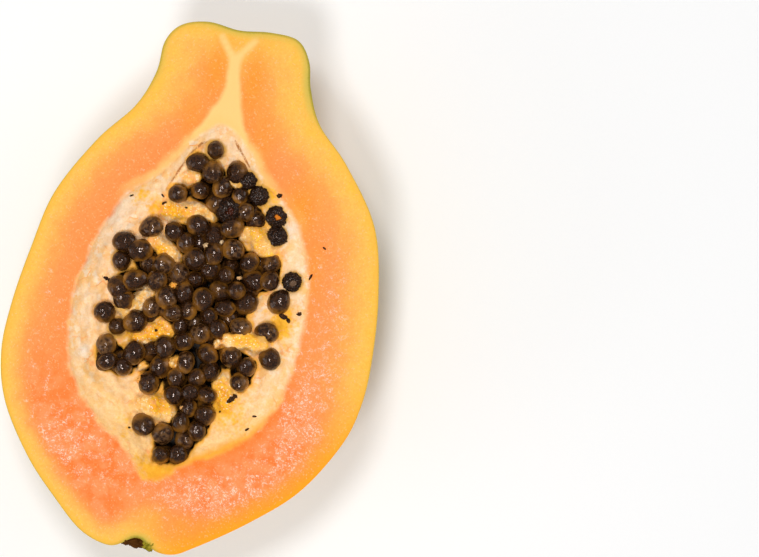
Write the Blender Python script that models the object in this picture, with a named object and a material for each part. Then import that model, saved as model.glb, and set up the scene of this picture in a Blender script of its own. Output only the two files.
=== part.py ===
"""Half of a ripe papaya, cut lengthwise and lying on its back with the cut face up.

The stalk end points to +Y. The sizes below are millimetres in the plane of the cut face, where z
is 0 and the fruit lies under it. The finished pieces are lifted until the flat spot under the
belly is at the ground. Two pieces make the half: the flesh with its skin and its lined hollow, and
the heap of seeds that lies in a bed in that hollow.
"""

import math
import random

import bmesh
import bpy
import numpy as np
from mathutils import Matrix, Vector, noise

MM = 0.001

# The edge of the cut face, anticlockwise from the right, with the stalk end at the top
OUTLINE = [
    (54.9, -12.0), (53.4, 8.0), (48.6, 28.0), (37.2, 44.6), (27.2, 55.0),
    (22.6, 65.0), (20.6, 73.2), (16.2, 78.8), (8.0, 79.7), (-1.5, 79.0),
    (-11.0, 79.6), (-18.8, 77.2), (-22.8, 71.5), (-23.7, 62.0), (-28.0, 51.2),
    (-37.6, 39.0), (-47.2, 21.5), (-51.2, 4.0), (-53.9, -13.0), (-54.4, -28.0),
    (-50.6, -42.5), (-41.0, -57.5), (-30.5, -68.6), (-21.8, -76.2), (-13.5, -79.2),
    (-6.0, -78.6), (5.5, -78.9), (12.5, -75.6), (27.0, -65.6), (40.5, -53.6),
    (50.2, -38.2), (54.0, -26.0),
]

# The edge of the hollow on the cut face, from the right
RIM = [
    (33.2, -4.0), (31.0, 12.5), (25.0, 26.2), (14.5, 35.5), (7.8, 44.0),
    (-1.2, 50.2), (-8.0, 45.2), (-16.5, 33.5), (-27.5, 22.5), (-34.3, 4.0),
    (-36.2, -12.0), (-33.0, -30.0), (-22.5, -43.0), (-13.0, -50.0), (-4.5, -58.2),
    (6.0, -51.4), (20.5, -42.6), (29.0, -31.5), (32.2, -18.0),
]
HOLLOW_CENTRE = Vector((-1.0, -8.0))

# The body of the fruit under the cut face
SPINE_X = 0.5
SPINE_LOW = -11.0
SPINE_HIGH = 62.0
ROUNDNESS = 0.955
END_SQUARENESS = 1.1
SQUARE_FROM = 40.0
LOBE_SWELL = 0.012
CARPELS = 5
FLAT_CUT = 1.0

# The dimple where the flower sat, and the shallow dip where the stalk broke off
BLOSSOM_POLE = Vector((-2.5, -78.6, 0.0))
BLOSSOM_DIP = 3.0
BLOSSOM_SPREAD = 4.0
STALK_POLE = Vector((-1.5, 79.2, -5.0))
STALK_DIP = 1.6
STALK_SPREAD = 7.5
REMNANT_SIZE = (5.2, 2.1, 4.2)

# The pale lining of the hollow: how far it falls inside the rim, and its lumps
LINING_FALL = 5.6
LINING_TILT = 1.7
LINING_RUN = 6.0
LUMP_HEIGHT = 1.1
LUMP_SIZE = 6.5
LUMP_RUN = 4.0

# Pulp that stands up between the seeds: two ends, radius, height
PULP_LOBES = [
    ((-13.0, 21.5), (-1.0, 22.5), 3.0, 2.2),
    ((-17.0, 11.8), (-9.0, 9.8), 2.6, 2.4),
    ((13.5, 18.8), (17.5, 15.6), 2.6, 2.2),
    ((13.0, -12.8), (21.0, -12.2), 3.0, 2.8),
    ((-15.0, -7.2), (-20.5, -9.2), 2.2, 1.6),
    ((-13.5, -15.2), (-5.5, -12.0), 2.6, 1.8),
    ((-3.2, -23.5), (-3.6, -27.5), 1.8, 1.6),
    ((-3.0, -36.8), (-9.5, -36.0), 2.8, 2.0),
    ((-8.5, 33.0), (-7.0, 33.6), 2.0, 1.8),
    ((12.5, -29.5), (14.5, -32.5), 3.0, 1.2),
]

# The clumps of the seed heap on the cut face: two ends, and half the clump's width
CLUMPS = [
    ((-6.8, 37.2), (-1.4, 35.0), 4.5),
    ((-1.4, 35.0), (2.0, 29.0), 4.6),
    ((-11.0, 28.2), (7.0, 29.2), 4.8),
    ((5.4, 26.0), (12.2, 24.4), 4.6),
    ((6.4, 24.0), (5.0, 14.0), 6.2),
    ((-3.0, 17.6), (4.0, 14.0), 4.7),
    ((-9.4, 15.6), (-2.0, 12.0), 4.6),
    ((3.0, 9.0), (18.6, 9.2), 5.8),
    ((-17.4, 7.4), (-6.0, 3.6), 4.6),
    ((-19.4, -0.6), (-8.0, 1.0), 4.6),
    ((-1.0, 5.0), (2.0, -6.0), 9.0),
    ((8.0, 4.0), (14.4, -0.8), 5.6),
    ((-11.4, -5.6), (-3.0, -7.6), 4.8),
    ((9.0, -5.0), (14.4, -7.6), 4.5),
    ((3.0, -9.0), (2.4, -18.0), 6.4),
    ((4.0, -20.4), (13.6, -18.8), 4.7),
    ((17.2, -19.4), (16.8, -24.4), 4.8),
    ((-23.8, -21.6), (-18.4, -25.4), 5.0),
    ((-17.0, -21.8), (-2.0, -17.2), 4.5),
    ((-7.2, -23.4), (-9.6, -29.2), 4.5),
    ((2.0, -23.0), (8.4, -23.4), 5.0),
    ((0.4, -28.6), (7.8, -31.0), 5.2),
    ((7.2, -34.6), (4.6, -41.6), 5.6),
    ((-2.0, -43.6), (4.4, -43.6), 5.0),
    ((-2.2, -49.0), (2.8, -48.2), 4.6),
]

# Seeds that lie apart from the heap, on the lining
LONE_SEEDS = [
    (-2.3, 42.6), (5.6, 37.4), (9.4, 35.6), (13.8, 31.6), (19.4, 26.0), (20.6, 20.2),
    (-17.4, 16.4), (-24.0, 10.8), (-25.0, 4.6), (27.4, 7.6), (25.0, 1.0), (22.8, -8.3),
    (-21.8, -7.2), (-26.8, -11.6), (-17.6, -13.0), (25.0, -16.4), (-9.8, -42.2),
]

# The bed cut into the lining for the heap, and the heap's own sizes
BED_FLOOR = -13.0
BED_STEP = 0.08
CUTTER_TOP = 8.0
GAP = 0.3
CORE_TOP = -6.8
CORE_TOP_STEP = 0.05
SEED_RADIUS = 3.3
SEED_SPREAD = 0.2
SEED_LENGTHS = (1.08, 1.0, 0.95)
SEED_REACH = (SEED_RADIUS + SEED_SPREAD) * SEED_LENGTHS[0]
SEED_RISE = 1.5
SEED_NESTING = 0.75
HEAP_LIMIT = -1.0
HEAP_TRIES = 80
SPOT_STEP = 0.5
ROOM_TURNS = 40
ROOM_RINGS = (0.3, 0.65, 1.0)
HEAP_DRAW = 11
LONE_SINK = 0.4
LONE_TOP = 0.8

# How finely the solids are divided
ROWS = 14
STALK_SPOKES = 16
BLOSSOM_SPOKES = 34
BLOSSOM_CROWDING = 0.6
HULL_BANDS = 10
FACE_BANDS = 1
LINING_BANDS = 9
LINING_CROWDING = 1.25
CLUMP_CORNERS = 5
SEED_SEGMENTS = 6
SEED_RINGS = 4

FLESH_COLOUR = (0.95, 0.42, 0.13, 1.0)
SEED_COLOUR = (0.035, 0.022, 0.015, 1.0)


def clear_scene():
    """Leaves nothing of a former scene."""
    for thing in list(bpy.data.objects):
        bpy.data.objects.remove(thing)


def material(name, colour, roughness):
    """A plain food surface."""
    made = bpy.data.materials.new(name)
    made.use_nodes = True
    shader = made.node_tree.nodes["Principled BSDF"]
    shader.inputs["Base Color"].default_value = colour
    shader.inputs["Roughness"].default_value = roughness
    shader.inputs["Metallic"].default_value = 0.0
    return made


def add_object(name, bm, collection=None):
    """Stores a bmesh made in millimetres as an object in metres."""
    bmesh.ops.scale(bm, vec=(MM, MM, MM), verts=bm.verts)
    mesh = bpy.data.meshes.new(name)
    bm.to_mesh(mesh)
    bm.free()
    made = bpy.data.objects.new(name, mesh)
    (collection or bpy.context.scene.collection).objects.link(made)
    return made


def smooth_loop(points, steps=16):
    """A closed smooth curve through the points."""
    here = np.array(points)[:, None]
    before = np.roll(here, 1, 0)
    after = np.roll(here, -1, 0)
    beyond = np.roll(here, -2, 0)
    t = (np.arange(steps) / steps)[None, :, None]
    bend = 2 * before - 5 * here + 4 * after - beyond
    twist = 3 * here - before - 3 * after + beyond
    curve = here + 0.5 * ((after - before) * t + bend * t**2 + twist * t**3)
    return curve.reshape(-1, 2)


def points_along(path, count, crowding):
    """count + 1 points from end to end of a path, closer together in its middle by the crowding."""
    steps = np.linalg.norm(np.diff(path, axis=0), axis=1)
    run = np.concatenate([[0.0], np.cumsum(steps)])
    share = np.linspace(0.0, 1.0, count + 1)
    wanted = run[-1] * (share + crowding * np.sin(math.tau * share) / math.tau)
    return np.stack([np.interp(wanted, run, path[:, k]) for k in (0, 1)], axis=1)


def side_at(loop, y, right):
    """Where the loop crosses height y on its right or its left side."""
    side = loop[loop[:, 0] > SPINE_X] if right else loop[loop[:, 0] < SPINE_X]
    side = side[np.argsort(side[:, 1])]
    return np.interp(y, side[:, 1], side[:, 0])


def end_path(loop, y, stalk):
    """The part of the loop beyond height y, from one side to the other."""
    level = [
        (side_at(loop, y, True), y),
        (side_at(loop, y, False), y),
    ]
    first, last = level if stalk else level[::-1]
    beyond = loop[loop[:, 1] > y] if stalk else loop[loop[:, 1] < y]
    turn = np.arctan2(beyond[:, 1] - y, beyond[:, 0] - SPINE_X)
    return np.vstack([first, beyond[np.argsort(turn)], last])


def spokes(loop):
    """Points round the cut edge, and for each the number of its point on the belly line."""
    heights = np.linspace(SPINE_LOW, SPINE_HIGH, ROWS + 1)
    right = np.stack([side_at(loop, heights, True), heights], axis=1)
    left = np.stack([side_at(loop, heights, False), heights], axis=1)[::-1]
    stalk = points_along(end_path(loop, SPINE_HIGH, True), STALK_SPOKES, 0.0)[1:-1]
    blossom_path = end_path(loop, SPINE_LOW, False)
    blossom = points_along(blossom_path, BLOSSOM_SPOKES, BLOSSOM_CROWDING)[1:-1]
    rows = list(range(ROWS + 1))
    belly = rows + [ROWS] * len(stalk) + rows[::-1] + [0] * len(blossom)
    return np.vstack([right, stalk, left, blossom]), belly


def half_width(loop, y):
    """Half the fruit's width at height y."""
    return 0.5 * (side_at(loop, y, True) - side_at(loop, y, False))


def dip(points, pole, amount, spread, towards):
    """Presses the skin in around a pole."""
    distance = np.linalg.norm(points - np.array(pole), axis=1)
    points[:, 1] += towards * amount * np.exp(-((distance / spread) ** 2))
    return points


def hull_ring(loop, edge, turn):
    """The skin at a share of the quarter turn from the cut edge, 0, down to the belly line, 1."""
    anchor_y = np.clip(edge[:, 1], SPINE_LOW, SPINE_HIGH)
    anchor = np.stack([np.full(len(edge), SPINE_X), anchor_y], axis=1)
    depth = ROUNDNESS * half_width(loop, anchor_y)
    reach = edge - anchor
    angle = turn * math.pi / 2
    share = np.clip((edge[:, 1] - SQUARE_FROM) / (SPINE_HIGH - SQUARE_FROM), 0.0, 1.0)
    power = 2.0 / (2.0 + END_SQUARENESS * share * share * (3 - 2 * share))
    around = np.where(reach[:, 0] > 0, angle, math.pi - angle)
    sideways = reach[:, 0] / np.linalg.norm(reach, axis=1)
    swell = 1 + LOBE_SWELL * (np.cos(CARPELS * around) - np.cos(around)) * sideways**2
    out = max(math.cos(angle), 0.0) ** power * swell
    down = math.sin(angle) ** power * swell
    flat = anchor + reach * out[:, None]
    ring = np.column_stack([flat, -depth * down])
    ring = dip(ring, BLOSSOM_POLE, BLOSSOM_DIP, BLOSSOM_SPREAD, 1.0)
    return dip(ring, STALK_POLE, STALK_DIP, STALK_SPREAD, -1.0)


def rim_points(rim, edge):
    """The rim's point in the same direction from the hollow's centre as each point of the edge."""
    centre = np.array(HOLLOW_CENTRE)
    arm = rim - centre
    turn = np.arctan2(arm[:, 1], arm[:, 0])
    order = np.argsort(turn)
    wanted = np.arctan2(edge[:, 1] - centre[1], edge[:, 0] - centre[0])
    length = np.interp(wanted, turn[order], np.linalg.norm(arm, axis=1)[order], period=2 * math.pi)
    return centre + length[:, None] * np.stack([np.cos(wanted), np.sin(wanted)], axis=1)


def distance_to_loop(point, loop):
    """The shortest way from a point to a closed loop."""
    start = loop
    along = np.roll(loop, -1, 0) - start
    share = ((point - start) * along).sum(1) / (along**2).sum(1)
    nearest = start + np.clip(share, 0.0, 1.0)[:, None] * along
    return np.linalg.norm(nearest - point, axis=1).min()


def distance_to_segment(point, a, b):
    """The shortest way from a point to the line between a and b."""
    start, along = Vector(a), Vector(b) - Vector(a)
    share = max(0.0, min(1.0, (point - start).dot(along) / max(along.length_squared, 1e-9)))
    return (point - start - share * along).length


def lining_height(point, inset):
    """The height of the hollow's lining at a point that lies inset inside the rim."""
    fall = LINING_FALL - LINING_TILT * point.x / RIM[0][0]
    height = -fall * (1 - math.exp(-inset / LINING_RUN))
    rough = noise.noise(Vector((point.x, point.y, 0.0)) / LUMP_SIZE)
    height += LUMP_HEIGHT * rough * (1 - math.exp(-inset / LUMP_RUN))
    for a, b, radius, rise in PULP_LOBES:
        height += rise * math.exp(-((distance_to_segment(point, a, b) / radius) ** 2))
    return min(height, 0.0)


def band(bm, outer, inner):
    """Faces between two rings of vertices, which may share some."""
    for number in range(len(outer)):
        following = (number + 1) % len(outer)
        corners = (outer[number], outer[following], inner[following], inner[number])
        different = list(dict.fromkeys(corners))
        if len(different) > 2:
            bm.faces.new(different)


def flesh_mesh():
    """The skin from the belly line up to the cut edge, the cut face, and the lining of the hollow."""
    bm = bmesh.new()
    outline = smooth_loop(OUTLINE)
    rim = smooth_loop(RIM)
    edge, belly_number = spokes(outline)
    belly_ring = hull_ring(outline, edge, 1.0)
    belly = {}
    for number, place in zip(belly_number, belly_ring):
        if number not in belly:
            belly[number] = bm.verts.new(place)
    rings = [[belly[number] for number in belly_number]]
    for step in range(HULL_BANDS - 1, -1, -1):
        places = hull_ring(outline, edge, step / HULL_BANDS)
        rings.append([bm.verts.new(place) for place in places])
    cut_edge = hull_ring(outline, edge, 0.0)[:, :2]
    inner_edge = rim_points(rim, cut_edge)
    for step in range(1, FACE_BANDS + 1):
        flat = cut_edge + (inner_edge - cut_edge) * step / FACE_BANDS
        rings.append([bm.verts.new((x, y, 0.0)) for x, y in flat])
    for step in range(1, LINING_BANDS):
        share = (step / LINING_BANDS) ** LINING_CROWDING
        ring = []
        for place in inner_edge + (np.array(HOLLOW_CENTRE) - inner_edge) * share:
            point = Vector(place)
            height = lining_height(point, distance_to_loop(place, rim))
            ring.append(bm.verts.new((point.x, point.y, height)))
        rings.append(ring)
    deepest = lining_height(HOLLOW_CENTRE, distance_to_loop(np.array(HOLLOW_CENTRE), rim))
    middle = bm.verts.new((*HOLLOW_CENTRE, deepest))
    rings.append([middle] * len(edge))
    for outer, inner in zip(rings, rings[1:]):
        band(bm, outer, inner)
    cut_flat_spot(bm)
    bmesh.ops.triangulate(bm, faces=[face for face in bm.faces if len(face.verts) == 4])
    bmesh.ops.recalc_face_normals(bm, faces=bm.faces)
    return bm


def cut_flat_spot(bm):
    """Slices a thin cap off the belly, so that the half stands on a small flat spot."""
    lowest = min(vert.co.z for vert in bm.verts)
    everything = bm.verts[:] + bm.edges[:] + bm.faces[:]
    cut = bmesh.ops.bisect_plane(
        bm,
        geom=everything,
        plane_co=(0.0, 0.0, lowest + FLAT_CUT),
        plane_no=(0.0, 0.0, -1.0),
        clear_outer=True,
    )
    border = [part for part in cut["geom_cut"] if isinstance(part, bmesh.types.BMEdge)]
    bmesh.ops.contextual_create(bm, geom=border)


def clump_prism(bm, ends, radius, floor, top):
    """An upright block with round ends."""
    a, b = Vector(ends[0]), Vector(ends[1])
    heading = math.atan2(b.y - a.y, b.x - a.x)
    corners = []
    for centre, start in ((b, heading - math.pi / 2), (a, heading + math.pi / 2)):
        for step in range(CLUMP_CORNERS + 1):
            turn = start + math.pi * step / CLUMP_CORNERS
            corners.append((centre.x + radius * math.cos(turn), centre.y + radius * math.sin(turn)))
    base = bm.faces.new([bm.verts.new((x, y, floor)) for x, y in corners])
    grown = bmesh.ops.extrude_face_region(bm, geom=[base])
    lifted = [part for part in grown["geom"] if isinstance(part, bmesh.types.BMVert)]
    bmesh.ops.translate(bm, verts=lifted, vec=(0.0, 0.0, top - floor))
    bmesh.ops.recalc_face_normals(bm, faces=bm.faces)


def seed_mesh(bm, place, radius, turn):
    """One seed: a slightly long ball, turned at random."""
    size = Matrix.Diagonal([radius * length for length in SEED_LENGTHS]).to_4x4()
    bmesh.ops.create_uvsphere(
        bm,
        u_segments=SEED_SEGMENTS,
        v_segments=SEED_RINGS,
        radius=1.0,
        matrix=Matrix.Translation(place) @ turn @ size,
    )


def random_turn(draw):
    """A turn about every axis."""
    turns = [Matrix.Rotation(draw.uniform(0.0, math.tau), 4, axis) for axis in "XYZ"]
    return turns[0] @ turns[1] @ turns[2]


def lone_seed_places():
    """Each seed apart from the heap, pressed a little into the lining under it."""
    draw = random.Random(HEAP_DRAW)
    rim = smooth_loop(RIM)
    places = []
    for spot in LONE_SEEDS:
        radius = SEED_RADIUS + draw.uniform(-SEED_SPREAD, SEED_SPREAD)
        height = lining_height(Vector(spot), distance_to_loop(np.array(spot), rim))
        height = min(height + LONE_SINK * radius, LONE_TOP - radius)
        places.append((Vector((*spot, height)), radius, random_turn(draw)))
    return places


def heap_spots():
    """The spots of a fine grid on which a seed stays inside the clumps."""
    ends = np.array([(a, b) for a, b, _ in CLUMPS])
    low, high = ends.min((0, 1)), ends.max((0, 1))
    across = np.arange(low[0], high[0], SPOT_STEP)
    along = np.arange(low[1], high[1], SPOT_STEP)
    spots = np.stack(np.meshgrid(across, along), axis=-1).reshape(-1, 1, 2)
    turns = np.linspace(0.0, math.tau, ROOM_TURNS, endpoint=False)
    circle = (SEED_REACH + GAP) * np.stack([np.cos(turns), np.sin(turns)], axis=1)
    around = spots + np.concatenate([share * circle for share in ROOM_RINGS])
    inside = np.zeros(around.shape[:2], dtype=bool)
    for (a, b), (_, _, radius) in zip(ends, CLUMPS):
        share = np.clip((around - a) @ (b - a) / ((b - a) @ (b - a)), 0.0, 1.0)
        nearest = a + share[..., None] * (b - a)
        inside |= np.linalg.norm(around - nearest, axis=2) <= radius
    return [Vector(spot) for spot in spots[inside.all(axis=1), 0]]


def rest_height(spot, placed, lone):
    """How high a seed lies when it is dropped on a spot of the heap. A seed apart keeps others off."""
    height = CORE_TOP + SEED_RISE
    spacing = 2 * SEED_RADIUS * SEED_NESTING
    for place, _, _ in placed:
        apart = (place.xy - spot).length
        if apart < spacing:
            height = max(height, place.z + math.sqrt(spacing**2 - apart**2))
    rest = Vector((*spot, height))
    if any((place - rest).length < 2 * SEED_REACH + GAP for place, _, _ in lone):
        return math.inf
    return height


def heap_seed_places(lone):
    """Seeds dropped one by one, each into the lowest of some random spots, until the heap is full."""
    draw = random.Random(HEAP_DRAW)
    spots = heap_spots()
    placed = []
    while True:
        tries = draw.choices(spots, k=HEAP_TRIES)
        heights = [rest_height(spot, placed, lone) for spot in tries]
        height = min(heights)
        if height > HEAP_LIMIT:
            return placed
        spot = tries[heights.index(height)]
        radius = SEED_RADIUS + draw.uniform(-SEED_SPREAD, SEED_SPREAD)
        placed.append((Vector((*spot, height)), radius, random_turn(draw)))


def remnant_mesh(bm):
    """The dry scrap of the flower in the dimple, cut through with the fruit."""
    place = BLOSSOM_POLE + Vector((0.0, REMNANT_SIZE[1], 0.0))
    size = Matrix.Diagonal(REMNANT_SIZE).to_4x4()
    bmesh.ops.create_icosphere(bm, subdivisions=2, radius=1.0, matrix=Matrix.Translation(place) @ size)
    everything = bm.verts[:] + bm.edges[:] + bm.faces[:]
    cut = bmesh.ops.bisect_plane(
        bm,
        geom=everything,
        plane_co=(0.0, 0.0, -GAP),
        plane_no=(0.0, 0.0, 1.0),
        clear_outer=True,
    )
    border = [part for part in cut["geom_cut"] if isinstance(part, bmesh.types.BMEdge)]
    bmesh.ops.contextual_create(bm, geom=border)
    bmesh.ops.recalc_face_normals(bm, faces=bm.faces)


def collection_of(name):
    """A new collection for the shapes of one Boolean."""
    made = bpy.data.collections.new(name)
    bpy.context.scene.collection.children.link(made)
    return made


def apply_boolean(target, operands, operation, solver="EXACT"):
    """Joins a collection's shapes to the target, or cuts them from it, and removes them."""
    modifier = target.modifiers.new(operation.title(), "BOOLEAN")
    modifier.operation = operation
    modifier.solver = solver
    modifier.operand_type = "COLLECTION"
    modifier.collection = operands
    graph = bpy.context.evaluated_depsgraph_get()
    result = bpy.data.meshes.new_from_object(target.evaluated_get(graph))
    target.modifiers.clear()
    target.data = result
    for thing in list(operands.objects):
        bpy.data.objects.remove(thing)
    bpy.data.collections.remove(operands)


def keep_outer_skin(mesh):
    """Keeps the largest of the separate surfaces, so that no hollow stays closed in between seeds."""
    bm = bmesh.new()
    bm.from_mesh(mesh)
    unseen = set(bm.verts)
    largest = set()
    while unseen:
        front = [unseen.pop()]
        surface = set(front)
        while front:
            vert = front.pop()
            linked = {edge.other_vert(vert) for edge in vert.link_edges} & unseen
            unseen -= linked
            surface |= linked
            front.extend(linked)
        if len(surface) > len(largest):
            largest = surface
    inner = [vert for vert in bm.verts if vert not in largest]
    bmesh.ops.delete(bm, geom=inner, context="VERTS")
    bm.to_mesh(mesh)
    bm.free()


def build_flesh(lone):
    """The flesh and skin, with the scrap of the flower and the lone seeds, and the bed of the heap."""
    flesh = add_object("flesh", flesh_mesh())
    grown = collection_of("grown_on_flesh")
    for number, (place, radius, turn) in enumerate(lone):
        bm = bmesh.new()
        seed_mesh(bm, place, radius, turn)
        add_object(f"lone_seed_{number}", bm, grown)
    bm = bmesh.new()
    remnant_mesh(bm)
    add_object("flower_remnant", bm, grown)
    apply_boolean(flesh, grown, "UNION")
    bed = collection_of("heap_bed")
    outside = 1 / math.cos(math.pi / (2 * CLUMP_CORNERS))
    for number, (a, b, radius) in enumerate(CLUMPS):
        bm = bmesh.new()
        floor = BED_FLOOR - BED_STEP * number
        clump_prism(bm, (a, b), radius * outside, floor, CUTTER_TOP + BED_STEP * number)
        add_object(f"bed_{number}", bm, bed)
    apply_boolean(flesh, bed, "DIFFERENCE")
    return flesh


def build_seeds(lone):
    """The heap: a block for each clump, the seeds that show on top, all joined."""
    blocks = collection_of("heap_parts")
    heap = None
    for number, (a, b, radius) in enumerate(CLUMPS):
        bm = bmesh.new()
        floor = BED_FLOOR - BED_STEP * number + GAP
        clump_prism(bm, (a, b), radius - GAP, floor, CORE_TOP - CORE_TOP_STEP * number)
        if heap is None:
            heap = add_object("seeds", bm)
        else:
            add_object(f"block_{number}", bm, blocks)
    for number, (place, radius, turn) in enumerate(heap_seed_places(lone)):
        bm = bmesh.new()
        seed_mesh(bm, place, radius, turn)
        add_object(f"seed_{number}", bm, blocks)
    apply_boolean(heap, blocks, "UNION", solver="MANIFOLD")
    keep_outer_skin(heap.data)
    return heap


def lift_to_ground(pieces):
    """Moves the half so that it rests on the ground with its box centred on the origin."""
    corners = np.array([vert.co[:] for piece in pieces for vert in piece.data.vertices])
    low, high = corners.min(0), corners.max(0)
    middle = (low + high) / 2
    shift = Matrix.Translation((-middle[0], -middle[1], -low[2]))
    for piece in pieces:
        piece.data.transform(shift)


def main():
    clear_scene()
    lone = lone_seed_places()
    flesh = build_flesh(lone)
    seeds = build_seeds(lone)
    flesh.data.materials.clear()
    flesh.data.materials.append(material("papaya_flesh", FLESH_COLOUR, 0.35))
    seeds.data.materials.clear()
    seeds.data.materials.append(material("papaya_seeds", SEED_COLOUR, 0.2))
    lift_to_ground([flesh, seeds])


main()
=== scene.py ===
import math
import random

import bmesh
import bpy
import numpy as np
from mathutils import Matrix, Vector, noise


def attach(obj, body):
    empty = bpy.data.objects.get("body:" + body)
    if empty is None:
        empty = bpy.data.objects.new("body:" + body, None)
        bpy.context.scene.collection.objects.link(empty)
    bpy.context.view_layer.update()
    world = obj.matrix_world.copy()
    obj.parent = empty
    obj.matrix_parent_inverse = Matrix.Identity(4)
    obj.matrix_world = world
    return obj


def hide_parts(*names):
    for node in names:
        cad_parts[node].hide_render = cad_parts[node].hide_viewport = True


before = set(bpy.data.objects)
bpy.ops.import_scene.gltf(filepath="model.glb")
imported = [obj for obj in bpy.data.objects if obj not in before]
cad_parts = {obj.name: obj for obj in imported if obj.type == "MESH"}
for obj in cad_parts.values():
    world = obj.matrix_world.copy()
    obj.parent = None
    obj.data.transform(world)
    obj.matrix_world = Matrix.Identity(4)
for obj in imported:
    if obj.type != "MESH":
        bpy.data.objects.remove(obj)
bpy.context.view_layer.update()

# The camera hangs straight over the fruit and is rolled a little, so the stalk end leans to the
# right. The cut face lies square to it, so one scale holds all over the face.
MM = 0.001
MM_PER_PIXEL = 0.2976
PHOTO_WIDTH = 759
VIEW_CENTRE = (52.5, 13.1)
CUT_FACE_Z = 50.75
CAMERA_RISE = 900.0
CAMERA_ROLL = 10.25
SENSOR_WIDTH = 36.0
CLIP_START = 10.0

camera = bpy.data.objects.new("camera", bpy.data.cameras.new("camera"))
bpy.context.scene.collection.objects.link(camera)
camera.data.sensor_width = SENSOR_WIDTH
camera.data.lens = SENSOR_WIDTH * CAMERA_RISE / (PHOTO_WIDTH * MM_PER_PIXEL)
camera.data.clip_start = CLIP_START * MM
camera.location = Vector((*VIEW_CENTRE, CUT_FACE_Z + CAMERA_RISE)) * MM
camera.rotation_euler = (0.0, 0.0, math.radians(CAMERA_ROLL))
bpy.context.scene.camera = camera

# Two lamps close beside the camera give the pairs of little glints on the seeds and the wet flesh.
# An even white surround lights the rest, and two wide soft lamps lift the sides of the fruit.
KEY_OFFSETS = ((-110.0, 165.0), (-75.0, -225.0))
KEY_AIM = (20.0, 0.0, CUT_FACE_Z)
KEY_SIZE = 170.0
KEY_POWER = 2.65
LEFT_PLACE = (-900.0, -500.0, 420.0)
RIGHT_PLACE = (900.0, 600.0, 420.0)
SIDE_AIM = (0.0, 0.0, 30.0)
SIDE_SIZE = 700.0
SIDE_POWER = 2.0
SURROUND = 0.35


def add_lamp(name, place, aim, size, power):
    """A round lamp at a place in millimetres, turned to a point."""
    data = bpy.data.lights.new(name, "AREA")
    data.shape = "DISK"
    data.size = size * MM
    data.energy = power
    lamp = bpy.data.objects.new(name, data)
    bpy.context.scene.collection.objects.link(lamp)
    lamp.location = Vector(place) * MM
    lamp.rotation_euler = (Vector(place) - Vector(aim)).to_track_quat("Z", "Y").to_euler()


for number, (right, up) in enumerate(KEY_OFFSETS):
    key_place = (VIEW_CENTRE[0] + right, VIEW_CENTRE[1] + up, CAMERA_RISE)
    add_lamp(f"key_lamp_{number}", key_place, KEY_AIM, KEY_SIZE, KEY_POWER)
add_lamp("left_lamp", LEFT_PLACE, SIDE_AIM, SIDE_SIZE, SIDE_POWER)
add_lamp("right_lamp", RIGHT_PLACE, SIDE_AIM, SIDE_SIZE, SIDE_POWER)

world = bpy.data.worlds.new("white_surround")
world.use_nodes = True
world.node_tree.nodes["Background"].inputs["Color"].default_value = (1.0, 1.0, 1.0, 1.0)
world.node_tree.nodes["Background"].inputs["Strength"].default_value = SURROUND
bpy.context.scene.world = world
bpy.context.scene.view_settings.view_transform = "Standard"

# The floor is a wide sheet of plain white card with a faint tooth. The fruit's flat spot rests
# on it.
FLOOR_SIDE = 6.0


def new_material(name, roughness):
    """A node material, with its node tree, the place on it in millimetres, and its shader."""
    made = bpy.data.materials.new(name)
    made.use_nodes = True
    tree = made.node_tree
    shader = tree.nodes["Principled BSDF"]
    shader.inputs["Roughness"].default_value = roughness
    source = tree.nodes.new("ShaderNodeTexCoord")
    scale = tree.nodes.new("ShaderNodeVectorMath")
    scale.operation = "SCALE"
    scale.inputs["Scale"].default_value = 1.0 / MM
    tree.links.new(source.outputs["Object"], scale.inputs[0])
    return made, tree, scale.outputs["Vector"], shader


def noise_node(tree, place, size, detail):
    """Soft random values with lumps of a size in millimetres."""
    node = tree.nodes.new("ShaderNodeTexNoise")
    node.inputs["Scale"].default_value = 1.0 / size
    node.inputs["Detail"].default_value = detail
    tree.links.new(place, node.inputs["Vector"])
    return node.outputs["Fac"]


def socket_in_colours(node, name):
    """The colour socket of a mix node, which has others of the same name."""
    return next(socket for socket in node.inputs if socket.name == name and socket.type == "RGBA")


def blend_node(tree, share, first, second, kind="MIX"):
    """Two colours mixed by a share. Each is a socket or a plain colour."""
    node = tree.nodes.new("ShaderNodeMix")
    node.data_type = "RGBA"
    node.blend_type = kind
    for value, socket in ((share, "Factor"), (first, "A"), (second, "B")):
        if isinstance(value, tuple):
            socket_in_colours(node, socket).default_value = (*value, 1.0)
        elif isinstance(value, float):
            node.inputs["Factor"].default_value = value
        elif socket == "Factor":
            tree.links.new(value, node.inputs["Factor"])
        else:
            tree.links.new(value, socket_in_colours(node, socket))
    return next(out for out in node.outputs if out.type == "RGBA")


def bump_node(tree, shader, height, strength, depth):
    """Relief on a shader's surface, its depth in millimetres."""
    node = tree.nodes.new("ShaderNodeBump")
    node.inputs["Strength"].default_value = strength
    node.inputs["Distance"].default_value = depth * MM
    tree.links.new(height, node.inputs["Height"])
    tree.links.new(node.outputs["Normal"], shader.inputs["Normal"])


card, tree, place, shader = new_material("white_card", 0.7)
tooth = noise_node(tree, place, 0.8, 2.0)
paper = blend_node(tree, tooth, (0.95, 0.95, 0.95), (0.97, 0.97, 0.97))
tree.links.new(paper, shader.inputs["Base Color"])
bump_node(tree, shader, tooth, 0.1, 0.05)

bm = bmesh.new()
bmesh.ops.create_grid(bm, x_segments=8, y_segments=8, size=FLOOR_SIDE / 2)
floor_mesh = bpy.data.meshes.new("floor")
bm.to_mesh(floor_mesh)
bm.free()
floor_mesh.materials.append(card)
floor = bpy.data.objects.new("floor", floor_mesh)
bpy.context.scene.collection.objects.link(floor)

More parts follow.
